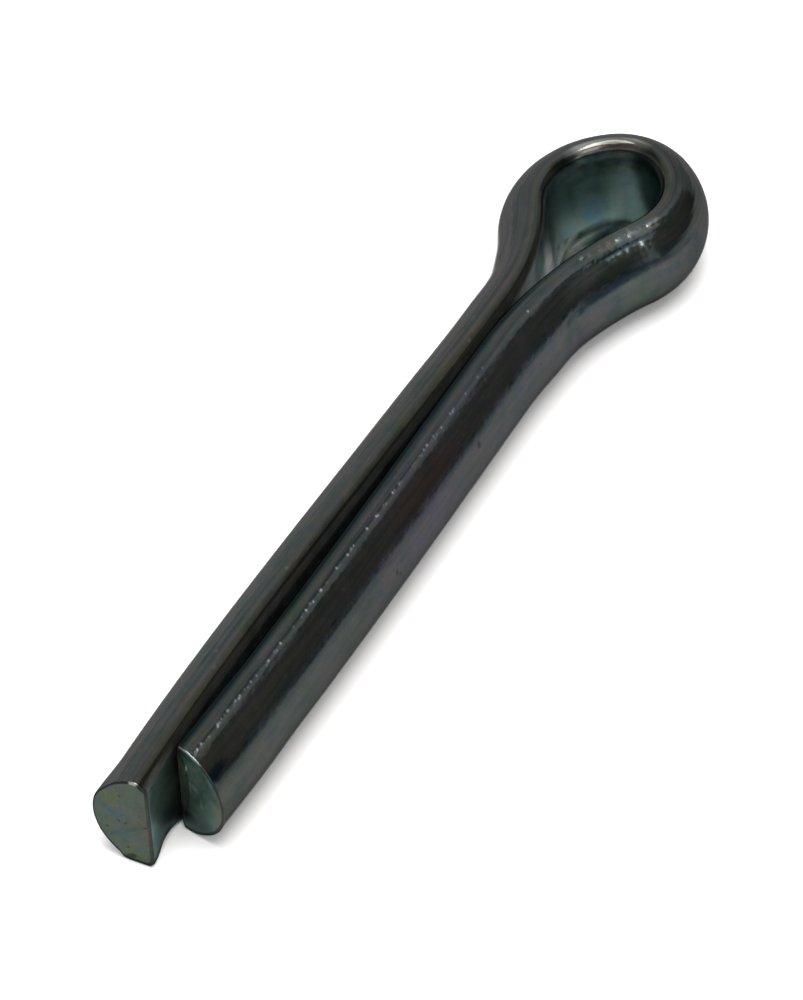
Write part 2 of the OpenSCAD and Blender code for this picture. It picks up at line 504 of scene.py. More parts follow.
# %% The bruised side of the eye
BRUISE = 0.005
BRUISE_SIZE = (0.9, 0.7, 0.7)
BRUISE_ALONG = (96.5, 108, 3)
BRUISE_TURN = (45, 74, 6)
STRUCK_ALONG = (98.5, 105, 2)
LINE_TURN = 57
STRUCK_WIDE = 0.14
STRUCK_DEEP = 0.024
LIP_TURN = 52
LIP_WIDE = 0.28
LIP_TALL = 0.014
bruised = window(along, *BRUISE_ALONG)[:, None] * window(turn_round, *BRUISE_TURN)
relief += BRUISE * bruised * ripple(straight, BRUISE_SIZE, seed=5)
off_line = np.radians(turn_round - LINE_TURN) * round_r
off_lip = np.radians(turn_round - LIP_TURN) * round_r
struck = window(along, *STRUCK_ALONG)[:, None] * is_round
lip_and_line = (LIP_TALL * np.exp(-((off_lip / LIP_WIDE) ** 2))
                - STRUCK_DEEP * np.exp(-((off_line / STRUCK_WIDE) ** 2)))
relief += struck * lip_and_line
print("the bruise is", round(float(np.ptp(struck * lip_and_line)), 3), "mm deep")

# %% Glints in the bruise
GLINTS_ABOVE = [(98.5, 67.1, 0.23, 0.045), (100.4, 68.1, 0.2, 0.035), (101.8, 67.5, 0.22, 0.04),
                (105.9, 72, 0.18, 0.04)]
GLINTS_BELOW = [(103.2, 53, 0.17, 0.03), (102.3, 51.4, 0.17, 0.03), (101.5, 52, 0.21, 0.04),
                (99.8, 50.5, 0.23, 0.045)]
GLINT_RADIUS = (0.16, 0.22)
GLINT_TALL = (0.006, 0.02)


def glints_round(places, turn, stray):
    """A low bump at each place along the wire, strayed from that turn, with a drawn size."""
    return [(at, rng.normal(turn, stray), rng.uniform(*GLINT_RADIUS), rng.uniform(*GLINT_TALL))
            for at in places]


glints = GLINTS_ABOVE + GLINTS_BELOW
glints += glints_round(97.8 + 8 * rng.uniform(0, 1, 12) ** 1.5, turn=68, stray=2)
glints += glints_round(rng.uniform(98.5, 104.5, 9), turn=52.3, stray=1.6)
relief += dots(glints)
print(len(glints), "glints")

# %% Mark where highlights and shade are painted
BEAD_SHINE = 26
GLINT_SHINE = 12
SPECK_SHINE = 14
PIT_SHADE_SCALE = 25
shining = [(*spot, BEAD_SHINE) for spot in beads] + [(*spot, GLINT_SHINE) for spot in glints] + [
    (at, turn, size, max(tall, 0), SPECK_SHINE) for at, turn, size, tall in specks]
# painted highlight: how far beads, glints and light specks are lit in the colour
bright = np.clip(dots([(at, turn, size, shine * tall) for at, turn, size, tall, shine in shining]), 0, 1)
# painted shade in the crease, the seam, the pits and the low specks
pitted = np.clip(-PIT_SHADE_SCALE * dots(PITS_ON_ROUND + specks), 0, 1)
painted_shade_marks = np.maximum(np.maximum(crease, seam), pitted)
print(int((bright > 0.5).sum()), "points shine and", int((painted_shade_marks > 0.5).sum()), "are dark")

# %% [markdown]
# ## What the shear did to the tips
# A blade squeezes a wire before it cuts it. So the last millimetres of the long leg are swollen, its
# lower corner is dented with a lip beside the dent, and the rim of each cut is rolled over. These
# could be sculpted by hand, but as sums of windows along and round the wire they stay adjustable.

# %% Shape the tips
ROLL_DEEP = 0.05
ROLL_LONG = 0.5
ROLL_DEPTH = 1.1
SWELL = 0.28
SWELL_LONG = 4.4
SHORT_SWELL = 0.10
SHORT_SWELL_ALONG = (163, 180, 6)
SWELL_TURN = (30, 100, 30)
BLUNT = 0.30
BLUNT_TURN = (-96, -60, 14)
DENT = 0.26
DENT_AT = 3.3
DENT_LONG = 1.6
LIP = 0.28
LIP_ALONG = (5.4, 14, 2.6)
LOW_CORNER_PART = (3.2, 4.2, 0.5)
ONTO_FLAT_PART = 0.12
ONTO_FLAT_EASE = 0.1
to_end = np.minimum(along, line_length - along)[:, None]
rolled = smooth_step(1 - to_end / ROLL_LONG) * (1 - smooth_step(depth / ROLL_DEPTH))
relief -= ROLL_DEEP * rolled**2
squeezed = np.maximum(flat_side, 1 - window(turn_round, *SWELL_TURN))
squeezed = squeezed + BLUNT / SWELL * window(turn_round, *BLUNT_TURN) * is_round
relief += SWELL * smooth_step(1 - along / SWELL_LONG)[:, None] * squeezed
relief += SHORT_SWELL * window(along, *SHORT_SWELL_ALONG)[:, None] * is_round
low_corner = window(part, *LOW_CORNER_PART) + smooth_step((ONTO_FLAT_PART - part) / ONTO_FLAT_EASE)
pressed = LIP * window(along, *LIP_ALONG) - DENT * np.exp(-(((along - DENT_AT) / DENT_LONG) ** 2))
relief += pressed[:, None] * low_corner
print("relief from", round(float(relief.min()), 3), "to", round(float(relief.max()), 3), "mm")

# %% [markdown]
# ## Moving the surface out
# The relief is a height over the smooth wire. A displacement modifier could apply it, but it moves
# each point along its shaded normal, which is uneven where the grid's spacing changes. The way out
# worked out from the grid itself is even, and the wire is kept within the solid's own height.


# %% Move the surface out by the relief
def outward_of(grid):
    """The unit way out at each point of a grid that is closed round its second direction: the cross
    product of the step along and the step round."""
    along_step = np.gradient(grid, axis=0)
    wrapped = np.concatenate([grid[:, -1:], grid, grid[:, :1]], axis=1)
    round_step = (wrapped[:, 2:] - wrapped[:, :-2]) / 2
    out = np.cross(along_step, round_step)
    return out / np.linalg.norm(out, axis=-1, keepdims=True)


wire += relief[:, :, None] * outward_of(wire)
half_high = cad_box[1][2] / MM
wire[:, :, 2] = np.clip(wire[:, :, 2], -half_high, half_high)
print("the wire with its relief reaches", np.round(np.ptp(wire.reshape(-1, 3), axis=0), 2), "mm")

# %% [markdown]
# ## Closing the ends
# A sheared end is nearly flat, with a small round where the blade's edge or the die's edge was. One
# large face could close it, but that would hold no round and no torn grain. So rings run in from the
# wire's last ring, shrinking to a middle point, and the whole pin stays one closed skin. The wire's
# last three rings are first set back to make room for the round, each by its share, so that none
# passes its neighbour.

# %% Close the ends
END_ROUND = 0.16
ROUND_RINGS = 4
FACE_RINGS = 24
FACE_UNEVEN = 0.012
FACE_UNEVEN_SIZE = (9, 1.6, 1.6)
FACE_RIM_SHARE = 0.1
END_SET_BACK = END_ROUND + 0.03
SET_BACK_SHARES = np.array([1, 0.55, 0.2])[:, None, None]


def end_cap(ring, place, outward, seed):
    """Rings that close an end, with their places on the straight wire: first a quarter round, then
    evenly spaced copies shrunk to the middle.

    A ring of share k is the middle plus k times the way from the middle to the rim."""
    middle = ring.mean(0)
    place_middle = place.mean(0)
    reach = np.linalg.norm(ring - middle, axis=1).mean()
    quarter = np.radians(np.linspace(0, 90, ROUND_RINGS + 1)[1:])
    inset = END_ROUND * (1 - np.cos(quarter)) / reach
    share = np.concatenate([1 - inset, (1 - inset[-1]) * np.linspace(1, 0, FACE_RINGS + 1)[1:-1]])
    share = share[:, None, None]
    lift = np.concatenate([END_ROUND * np.sin(quarter), np.full(FACE_RINGS - 1, END_ROUND)])[:, None]
    places = place_middle + share * (place - place_middle)
    inside = smooth_step((1 - share[:, :, 0]) / FACE_RIM_SHARE)
    lift = lift + FACE_UNEVEN * inside * ripple(places, FACE_UNEVEN_SIZE, seed)
    rings = middle + share * (ring - middle) + lift[:, :, None] * outward
    return rings, places, middle + END_ROUND * outward, place_middle


long_way = np.array([1.0, 0, 0])
short_way = np.array([1.0, -SHORT_SLANT, 0]) / np.hypot(1, SHORT_SLANT)
set_back = END_SET_BACK * SET_BACK_SHARES
wire[:3] -= set_back * long_way
wire[-3:] -= set_back[::-1] * short_way
long_cap, long_places, long_middle, long_centre = end_cap(wire[0], straight[0], long_way, 21)
short_cap, short_places, short_middle, short_centre = end_cap(wire[-1], straight[-1], short_way, 22)
rings = np.concatenate([long_cap[::-1], wire, short_cap])
places = np.concatenate([long_places[::-1], straight, short_places])
vertices = np.concatenate([rings.reshape(-1, 3), [long_middle], [short_middle]])
vertex_places = np.concatenate([places.reshape(-1, 3), [long_centre], [short_centre]])
print(len(rings), "rings and", len(vertices), "points")

# %% [markdown]
# ## Making the mesh
# Neighbouring rings are joined by quads, and the two middle points by fans of triangles. The place
# on the straight wire goes into the mesh as an attribute. So do the masks, which say for each point
# how far it belongs to a sheared face, an edge, the beads or the dark marks. The finish could find
# the same places from positions alone, but masks made with the shapes always sit right on them.


# %% Make the mesh
def skin(n_rings, n_around):
    """Quads between the rings, and a fan at each end, as rows of point numbers, facing outwards."""
    ring, step = np.meshgrid(np.arange(n_rings - 1), np.arange(n_around), indexing="ij")
    here = ring * n_around + step
    beside = ring * n_around + (step + 1) % n_around
    quads = np.stack([here, here + n_around, beside + n_around, beside], -1).reshape(-1, 4)
    step = np.arange(n_around)
    first = n_rings * n_around
    last_ring = (n_rings - 1) * n_around
    ahead = (step + 1) % n_around
    start_fan = np.stack([np.full(n_around, first), step, ahead], 1)
    end_fan = np.stack([np.full(n_around, first + 1), last_ring + ahead, last_ring + step], 1)
    return quads, start_fan, end_fan


def keep_attribute(mesh, name, kind, values):
    """Stores one value per point: a number for FLOAT, three for FLOAT_VECTOR."""
    attribute = mesh.attributes.new(name, kind, "POINT")
    field = "vector" if kind == "FLOAT_VECTOR" else "value"
    attribute.data.foreach_set(field, values.astype(np.float32).ravel())


quads, start_fan, end_fan = skin(len(rings), len(around))
mesh = bpy.data.meshes.new("folded_wire")
mesh.from_pydata((vertices * MM).tolist(), [], quads.tolist() + start_fan.tolist() + end_fan.tolist())
mesh.polygons.foreach_set("use_smooth", np.ones(len(mesh.polygons), bool))
print("the pin's mesh has", len(mesh.polygons), "faces")


# %% Keep the masks in the mesh
def on_wire(values):
    """Values on the wire's own rings, with 0 on both ends' rings and middle points."""
    everywhere = np.zeros((len(rings), len(around)))
    everywhere[len(long_cap): len(long_cap) + len(along)] = values
    return np.append(everywhere.ravel(), [0, 0])


keep_attribute(mesh, "straight", "FLOAT_VECTOR", vertex_places)
keep_attribute(mesh, "cut_face", "FLOAT", 1 - on_wire(1))
edge_rings = np.zeros((len(rings), len(around)))
edge_rings[len(long_cap) - ROUND_RINGS: len(long_cap)] = 1
edge_rings[-len(short_cap): -len(short_cap) + ROUND_RINGS] = 1
keep_attribute(mesh, "cut_edge", "FLOAT", np.append(edge_rings.ravel(), [0, 0]))
wire_masks = {
    "rolled": rolled, "bright": bright, "painted_shade_marks": painted_shade_marks, "flat_side": flat_side,
    "top_edge": top_edge, "worn_edge": worn_edge, "foot_painted_light": foot_painted_light, "foot_painted_shadow": foot_painted_shadow,
    "turn_round": turn_round, "across": np.maximum(flat_side, under_eye),
}
for name, values in wire_masks.items():
    keep_attribute(mesh, name, "FLOAT", on_wire(values))
mesh.update()
print(len(wire_masks) + 2, "masks go with the mesh")

# %% Put the pin in the scene
pin = bpy.data.objects.new("folded_wire", mesh)
bpy.context.scene.collection.objects.link(pin)
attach(pin, "root")
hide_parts("cotter_pin")
print(pin.name, "stands for the packed solid")

# %% [markdown]
# ## The finish
# Bright zinc over drawn steel is a dark, cool grey mirror with a soft edge. The passivation on it is
# a film thinner than light's own wavelength, so it is tinted: teal where it pooled on the flat side,
# lilac and green elsewhere. Part of the colour is painted light besides: painted reflection of the
# room in stripes and patches, painted shade in creases, pits, gaps and rims, and painted highlights
# on the eye's rim, the beads and the glints. A painted texture could hold all that, but it would blur
# close up. So one material works it out from the place on the straight wire: a ramp along the wire
# and stripes round it, then stains, then mottling, draw lines and grain that multiply it.


# %% Helpers for nodes
def add(tree, kind, **settings):
    """A new node with these properties, and these values for its sockets, where a socket's name has
    its spaces written as underscores."""
    node = tree.nodes.new("ShaderNode" + kind)
    for name, value in settings.items():
        if hasattr(node, name):
            setattr(node, name, value)
        else:
            node.inputs[name.replace("_", " ")].default_value = value
    return node


def tinted(tree, factor, under, over, way="MULTIPLY"):
    """Blends the colour over onto the colour under, as much as factor says, and gives the result."""
    mix = add(tree, "Mix", data_type="RGBA", blend_type=way)
    for socket, value in ((mix.inputs[0], factor), (mix.inputs[6], under), (mix.inputs[7], over)):
        if isinstance(value, bpy.types.NodeSocket):
            tree.links.new(value, socket)
        else:
            socket.default_value = value if isinstance(value, (int, float)) else (*value, 1)
    return mix.outputs[2]


def ramp(tree, value, stops):
    """A colour that runs through the stops (position, colour) as the value goes from 0 to 1."""
    node = add(tree, "ValToRGB")
    elements = node.color_ramp.elements
    while len(elements) < len(stops):
        elements.new(1.0)
    for element, (position, colour) in zip(elements, stops):
        element.position = position
        element.color = (*colour, 1)
    tree.links.new(value, node.inputs["Fac"])
    return node.outputs["Color"]


def blended(tree, factor, first, second):
    """The number first where the factor is 0, second where it is 1, and a mixture between."""
    mix = add(tree, "Mix", data_type="FLOAT")
    for socket, value in ((mix.inputs[0], factor), (mix.inputs[2], first), (mix.inputs[3], second)):
        tree.links.new(value, socket)
    return mix.outputs[0]


def plus(tree, base, factor, amount):
    """The base plus the factor times an amount."""
    node = add(tree, "Math", operation="MULTIPLY_ADD")
    tree.links.new(factor, node.inputs[0])
    node.inputs[1].default_value = amount
    tree.links.new(base, node.inputs[2])
    return node.outputs["Value"]


def remap(tree, value, from_min, from_max, to_min, to_max, kind="SMOOTHSTEP"):
    """The value carried from one range to another, level at both ends.

    Below, four numbers with a name like RIM_FADE are these limits, in this order."""
    node = add(tree, "MapRange", interpolation_type=kind)
    limits = {"From Min": from_min, "From Max": from_max, "To Min": to_min, "To Max": to_max}
    for name, number in limits.items():
        node.inputs[name].default_value = number
    tree.links.new(value, node.inputs["Value"])
    return node.outputs["Result"]


def grain(tree, place, size, detail=2.0):
    """Noise in which one grain measures about size, in millimetres, along each coordinate."""
    scaled = add(tree, "VectorMath", operation="DIVIDE")
    scaled.inputs[1].default_value = size
    tree.links.new(place, scaled.inputs[0])
    noise = add(tree, "TexNoise", Scale=1.0, Detail=detail, Roughness=0.55)
    tree.links.new(scaled.outputs["Vector"], noise.inputs["Vector"])
    return noise.outputs["Fac"]


print("seven helpers make nodes and join them")

# %% [markdown]
# ## Stains
# The plating's film is uneven, as drops and rinsing leave it. Some patches are painted light
# instead: painted shade, painted reflection and painted sheen, each noted where it stands. Each patch
# is one stain: a place on the straight wire, a size along each way, and a colour that multiplies what
# is there. One node group makes the mask of them all, so its ragged edge is drawn up only once.


# %% The group that makes a stain
RAGGED = 0.6
RAGGED_SIZE = (1.2, 0.7, 0.7)
STAIN_FADE = (0.6, 1.3, 1, 0)


def stain_group():
    """A mask that is 1 at a centre and falls to 0 at one size away from it, with a ragged edge."""
    group = bpy.data.node_groups.new("stain", "ShaderNodeTree")
    for name in ("Place", "Centre", "Size"):
        group.interface.new_socket(name, in_out="INPUT", socket_type="NodeSocketVector")
    group.interface.new_socket("Mask", in_out="OUTPUT", socket_type="NodeSocketFloat")
    given = group.nodes.new("NodeGroupInput")
    result = group.nodes.new("NodeGroupOutput")
    offset = add(group, "VectorMath", operation="SUBTRACT")
    group.links.new(given.outputs["Place"], offset.inputs[0])
    group.links.new(given.outputs["Centre"], offset.inputs[1])
    scaled = add(group, "VectorMath", operation="DIVIDE")
    group.links.new(offset.outputs["Vector"], scaled.inputs[0])
    group.links.new(given.outputs["Size"], scaled.inputs[1])
    length = add(group, "VectorMath", operation="LENGTH")
    group.links.new(scaled.outputs["Vector"], length.inputs[0])
    ragged = add(group, "Math", operation="MULTIPLY_ADD")
    group.links.new(grain(group, given.outputs["Place"], RAGGED_SIZE), ragged.inputs[0])
    ragged.inputs[1].default_value = RAGGED
    group.links.new(length.outputs["Value"], ragged.inputs[2])
    group.links.new(remap(group, ragged.outputs["Value"], *STAIN_FADE), result.inputs["Mask"])
    return group


stain = stain_group()
print("the stain group has", len(stain.nodes), "nodes")

# %% [markdown]
# ## Tints of the wire
# Three ramps run along the wire from the long tip, each stop at its distance in millimetres: one for
# the round side, one for the flat side, and one that multiplies the upper edge: painted shade along
# the legs, and a painted highlight on the eye's rim from 83 to 89 mm. The flat side's tints are
# several times the round side's, partly for its teal film and partly as painted light on the deep flat
# side, with a dip of painted shade near 4 mm. The round side's stops dip round the crown, from 90 mm,
# as painted reflection. Ramps keep each tint in one place, and they blend by themselves.

# %% Tints along the wire
# the dip round the crown, from 90 to 95 mm, is painted reflection
ROUND_TINTS = [
    (0, (0.054, 0.057, 0.053)), (20, (0.055, 0.060, 0.057)), (40, (0.053, 0.057, 0.053)),
    (60, (0.054, 0.055, 0.052)), (72, (0.047, 0.051, 0.050)), (82, (0.052, 0.056, 0.055)),
    (90, (0.042, 0.045, 0.042)), (95, (0.042, 0.046, 0.043)), (99, (0.056, 0.062, 0.059)),
    (102, (0.057, 0.067, 0.062)), (106, (0.055, 0.061, 0.060)), (116, (0.051, 0.056, 0.058)),
    (138, (0.052, 0.053, 0.056)), (150, (0.047, 0.051, 0.049)), (164, (0.051, 0.056, 0.054)),
    (171, (0.050, 0.055, 0.050)),
]
# partly the teal film, partly painted light on the deep flat side; the dip near 4 mm is painted shade
FLAT_TINTS = [
    (0, (0.150, 0.225, 0.205)), (4, (0.125, 0.180, 0.165)), (9, (0.170, 0.215, 0.205)),
    (58, (0.170, 0.215, 0.205)), (68, (0.170, 0.200, 0.195)), (76, (0.200, 0.265, 0.260)),
    (80, (0.150, 0.225, 0.218)), (85.4, (0.130, 0.205, 0.196)), (85.9, (0.170, 0.245, 0.230)),
    (87.4, (0.085, 0.130, 0.125)), (90, (0.072, 0.118, 0.113)), (110, (0.110, 0.150, 0.150)),
    (122, (0.180, 0.220, 0.225)), (172, (0.170, 0.210, 0.220)),
]
# painted shade along the legs' upper edge, and a painted highlight on the eye's rim from 83 to 89 mm
EDGE_SHADE_AND_HIGHLIGHT = [
    (0, (0.68, 0.65, 0.57)), (60, (0.68, 0.67, 0.59)), (72, (0.90, 0.92, 0.86)), (82.5, (0.92, 0.92, 0.86)),
    (83, (3.6, 3.5, 3.3)), (84.4, (4.1, 3.95, 3.75)), (85.5, (3.2, 3.1, 2.95)), (86.6, (2.35, 2.2, 2.02)),
    (88.1, (4.5, 4.1, 3.85)), (89.2, (1.05, 1.02, 0.96)), (96, (1.0, 1.0, 0.98)), (105, (0.74, 0.80, 0.80)),
    (118, (0.26, 0.32, 0.35)), (172, (0.23, 0.30, 0.33)),
]
print(len(ROUND_TINTS), "tints on the round side and", len(FLAT_TINTS), "on the flat side")

# %% Stains on the wire
STAINS = {
    # painted shade along the struck line of the bruise
    "painted shade in the struck line": ((102, 2.46, 3.94), (4.5, 0.28, 0.28), (0.40, 0.52, 0.80)),
    "blue on the eye's wall": ((84.0, 0, -1.6), (1.8, 2, 1.8), (0.92, 1.05, 1.30)),
    "green at the wall's foot": ((81.0, 0, -4.0), (4.5, 2, 1.6), (1.20, 1.12, 0.92)),
    # painted shade at the foot of the eye's wall
    "painted shade right of the foot": ((84.3, 0, -4.9), (3.0, 1.6, 1.6), (0.40, 0.36, 0.38)),
    # painted reflection, pink, on the wall's left
    "pink painted reflection at the wall's left": ((74.3, 0, -0.5), (2.4, 2, 3.2), (2.3, 1.75, 1.85)),
    # painted shade: the next three darken the wall's top, the long leg's flat in the gap and the long end's
    # foot
    "painted shade at the wall's top": ((88.0, 0, 4.2), (8.6, 1, 3.2), (0.29, 0.26, 0.28)),
    "painted shade on the long leg's flat in the gap": ((33, 0, 4.7), (30, 1, 1.3), (0.42, 0.43, 0.47)),
    "painted shade at the long end's foot": ((2.6, 0, -3.4), (4.2, 1, 3.6), (0.46, 0.46, 0.50)),
    # painted sheen: the next two lighten the bruise and the band below it
    "painted sheen of the bruise": ((100.3, 1.75, 4.3), (4.5, 1.2, 0.9), (1.28, 1.26, 1.27)),
    "painted sheen below it": ((103.5, 2.85, 3.65), (7, 0.9, 0.75), (1.35, 1.42, 1.42)),
    # painted reflection, navy, at the short end
    "navy painted reflection at the short end": ((171.2, 3.35, 3.0), (2.2, 0.75, 0.7), (0.26, 0.36, 0.54)),
    "brown below the short end": ((5.2, 0, 0.5), (1.2, 1, 5.0), (1.45, 1.25, 1.10)),
    "yellow beside the short end": ((171.6, 4, -1.2), (1.0, 2, 1.4), (1.25, 1.08, 0.75)),
    "green panel under the neck": ((101.5, 4.2, -1.5), (3.0, 3, 3.0), (0.97, 1.10, 0.92)),
    "blue beside it": ((95.5, 4.2, -1.0), (3.0, 3, 3.0), (0.95, 1.00, 1.10)),
    # painted reflection, navy, under the near limb's band
    "navy painted reflection under the band": ((104, 4.1, 2.05), (9.5, 0.9, 0.75), (0.22, 0.29, 0.36)),
    # painted shade: the next two darken the eye's inner edge on each side of the rim's highlight
    "painted shade on the edge beside the crown": ((81.1, 0.4, 4.25), (1.9, 0.75, 0.6), (0.32, 0.38, 0.36)),
    "painted shade on the edge of the crown": ((90.2, 0.25, 4.15), (2.0, 0.5, 0.5), (0.40, 0.46, 0.46)),
    # painted reflection: the next three darken the crown's band and lighten below it and on the near limb
    "darker painted reflection on the crown's band": ((93, 3.1, 3.2), (3.5, 1.3, 1.3), (0.84, 0.84, 0.84)),
    "lighter painted reflection under the crown": ((93, 4.6, 0.0), (4.0, 1.5, 2.4), (1.14, 1.15, 1.15)),
    "lighter painted reflection on the near limb's band": ((107.5, 3.0, 3.6), (4.5, 1.4, 1.2), (1.34, 1.34, 1.38)),
    "lilac on the neck": ((111, 4.2, -1.5), (5.0, 3, 2.5), (1.02, 0.97, 1.08)),
    "lilac on the short leg": ((139, 4.5, 0), (11, 3, 3), (1.02, 0.98, 1.10)),
    "lilac behind the long leg": ((68, 4.5, 1.5), (8, 3, 3), (1.03, 0.95, 1.03)),
    "rust on the short leg": ((136, 3.2, 3.4), (9, 1.5, 1.2), (1.25, 0.95, 0.85)),
}
print(len(STAINS), "stains on the wire")

# %% Stains, pits and rims of the sheared faces
FACE_STAINS = {
    "yellow-green at the top left": ((0, 3.0, 2.2), (1, 1.2, 1.3), (1.05, 1.03, 0.80)),
    "blue in the middle": ((0, 2.9, 0.4), (1, 1.5, 0.8), (0.88, 1.00, 1.22)),
    "blue lower down": ((0, 2.2, -1.6), (1, 1.3, 0.9), (0.88, 1.00, 1.20)),
    "brown beside the flat": ((0, 0.3, 0.2), (1, 0.9, 3.4), (1.10, 0.92, 0.92)),
    "green at the foot": ((0, 1.1, -3.2), (1, 1.0, 1.0), (0.98, 1.06, 0.86)),
    "light dash on the short end": ((172, 1.22, 0.7), (1, 0.16, 1.0), (1.9, 1.6, 1.4)),
    # painted light beside the rubbed strip
    "painted light beside the strip": ((172, 1.5, -0.5), (1, 0.9, 3.6), (1.25, 1.16, 1.15)),
    "dark tip of the short end": ((172, 0.4, 4.3), (1, 1.0, 1.1), (0.50, 0.42, 0.42)),
    "teal low on the short end": ((172, 1.8, -3.2), (1, 2.6, 2.2), (0.55, 0.58, 0.66)),
    "dark low on the short end": ((172, 0.9, -2.9), (1, 1.0, 0.8), (0.62, 0.58, 0.54)),
    # painted glint on the short end
    "painted glint on the short end": ((172, 0.98, 2.75), (1, 0.15, 0.5), (9.0, 6.6, 7.6)),
    "scratch on the short end": ((172, 2.3, -0.4), (1, 0.14, 0.8), (1.7, 1.65, 1.5)),
    "light low on the long end": ((0, 1.6, -3.0), (1, 2.4, 1.8), (1.18, 1.18, 1.14)),
    "brown right of the short end": ((172, 4.0, -0.6), (1, 0.8, 2.2), (1.30, 1.03, 0.90)),
    "smudge low on the long end": ((0, 1.5, -3.8), (1, 0.6, 0.35), (0.45, 0.45, 0.45)),
    "light high on the short end": ((172, 1.6, 2.2), (1, 1.6, 2.0), (1.60, 1.35, 1.35)),
}
FACE_PITS = [(0, 2.25, 2.54), (0, 2.4, -0.25), (0, 3.45, -1.32), (0, 1.85, -0.35), (0, 0.3, -0.2),
             (0, 1.7, -2.9)]
RIM_SPOTS = {
    # painted highlight on the short end's rim; next, a painted glint on the long end's rim
    "painted highlight on the short end's rim": ((172, 1.5, 4.3), (1, 1.4, 0.8), (0.18, 0.19, 0.195)),
    "painted glint of the long end": ((0, 0.9, 4.55), (1, 0.55, 0.4), (0.27, 0.28, 0.285)),
    "soft edge beside the flat": ((0, 0, -0.6), (1, 0.5, 5.6), (0.038, 0.040, 0.034)),
    "brown rim of the short end": ((172, 3.8, -0.8), (1, 2.4, 3.4), (0.030, 0.023, 0.020)),
}
print(len(FACE_STAINS), "stains,", len(FACE_PITS), "pits and", len(RIM_SPOTS), "spots on the rims")

# %% Stripes round the wire
# Painted reflection: these lighten and darken bands round each leg by how far round a point lies
REFLECTION_STRIPES = {
    "long leg": [
        (0.45, (0.90, 0.92, 0.96)), (0.60, (1, 1, 1)), (0.68, (0.96, 1.03, 1.08)),
        (0.73, (1.02, 1.06, 1.10)), (0.785, (0.84, 0.86, 0.85)), (0.81, (0.97, 0.97, 0.95)),
        (0.835, (1.10, 1.09, 1.06)),
        (0.885, (1.12, 1.12, 1.09)), (0.905, (0.90, 0.90, 0.86)),
    ],
    "short leg": [
        (0.20, (1.0, 1.0, 1.0)), (0.26, (0.94, 0.95, 0.95)), (0.30, (0.78, 0.82, 0.84)),
        (0.34, (0.68, 0.73, 0.77)), (0.37, (0.80, 0.90, 0.94)), (0.40, (1.22, 1.24, 1.26)),
        (0.43, (1.04, 1.04, 1.03)), (0.60, (1.06, 1.04, 1.02)), (0.67, (0.98, 0.99, 0.99)),
        (0.695, (0.84, 0.86, 0.84)), (0.72, (0.97, 1.01, 1.00)), (0.748, (0.95, 0.99, 0.99)),
        (0.766, (0.82, 0.87, 0.88)), (0.782, (0.82, 0.85, 0.86)), (0.80, (0.78, 0.80, 0.79)),
        (0.82, (0.92, 0.92, 0.90)), (0.845, (0.98, 0.98, 0.95)),
        (0.865, (0.78, 0.88, 0.84)), (0.89, (0.50, 0.66, 0.66)),
    ],
}
print("stripes for", " and ".join(REFLECTION_STRIPES))

# %% [markdown]
# ## Zinc plate
# Now the nodes. The masks come from the mesh, and how far along and how far round from the place on
# the straight wire. Each layer takes the colour made so far and gives the next one, as coats do, so
# the cells below can be read from top to bottom. One shader carries them all: plate, rubbed edges
# and bare cuts are all metal, and differ only in colour and roughness.

# %% Start the zinc plate
MASKS = ("cut_face", "cut_edge", "rolled", "bright", "painted_shade_marks", "flat_side", "top_edge",
         "worn_edge", "across", "foot_painted_light", "foot_painted_shadow")
zinc = bpy.data.materials.new("zinc_plate")
zinc.use_nodes = True
tree = zinc.node_tree
skin_shader = tree.nodes["Principled BSDF"]
place = add(tree, "Attribute", attribute_name="straight").outputs["Vector"]
mask = {name: add(tree, "Attribute", attribute_name=name).outputs["Fac"] for name in MASKS}
split = add(tree, "SeparateXYZ")
tree.links.new(place, split.inputs[0])
how_far = remap(tree, split.outputs["X"], 0, line_length, 0, 1, "LINEAR")


def stain_mask(centre, size):
    """The mask of one stain at that place on the straight wire."""
    spot = add(tree, "Group", node_tree=stain, Centre=centre, Size=size)
    tree.links.new(place, spot.inputs["Place"])
    return spot.outputs["Mask"]


def stained(colour, stains):
    """The colour with each stain multiplied in."""
    for centre, size, tint in stains:
        colour = tinted(tree, stain_mask(centre, size), colour, tint)
    return colour


def ramp_along(tints):
    """A ramp over the whole wire, with its stops given in millimetres."""
    return ramp(tree, how_far, [(at / line_length, tint) for at, tint in tints])


print("the plate reads", len(mask), "masks")

# %% Colour the wire
TO_SHORT = (0.59, 0.68)
WORN_COLOUR = (0.074, 0.076, 0.068)
FOOT_LIGHT_COLOUR = (0.34, 0.335, 0.32)
FOOT_SHADOW_TINT = (0.25, 0.27, 0.22)
FOOT_SHADOW_SHARE = 0.7
round_colour = ramp_along(ROUND_TINTS)
flat_colour = ramp_along(FLAT_TINTS)
turned_by = add(tree, "Attribute", attribute_name="turn_round").outputs["Fac"]
turn = remap(tree, turned_by, 0, 90, 0, 1, "LINEAR")
at_short = remap(tree, how_far, *TO_SHORT, 0, 1)
# painted reflection: bands round each leg
stripes = tinted(tree, at_short, *[ramp(tree, turn, stops) for stops in REFLECTION_STRIPES.values()], "MIX")
round_colour = tinted(tree, 1.0, round_colour, stripes)
colour = stained(tinted(tree, mask["flat_side"], round_colour, flat_colour, "MIX"), STAINS.values())
# painted shade along the upper edge, and a painted highlight on the eye's rim
colour = tinted(tree, mask["top_edge"], colour, ramp_along(EDGE_SHADE_AND_HIGHLIGHT))
colour = tinted(tree, mask["worn_edge"], colour, WORN_COLOUR, "MIX")
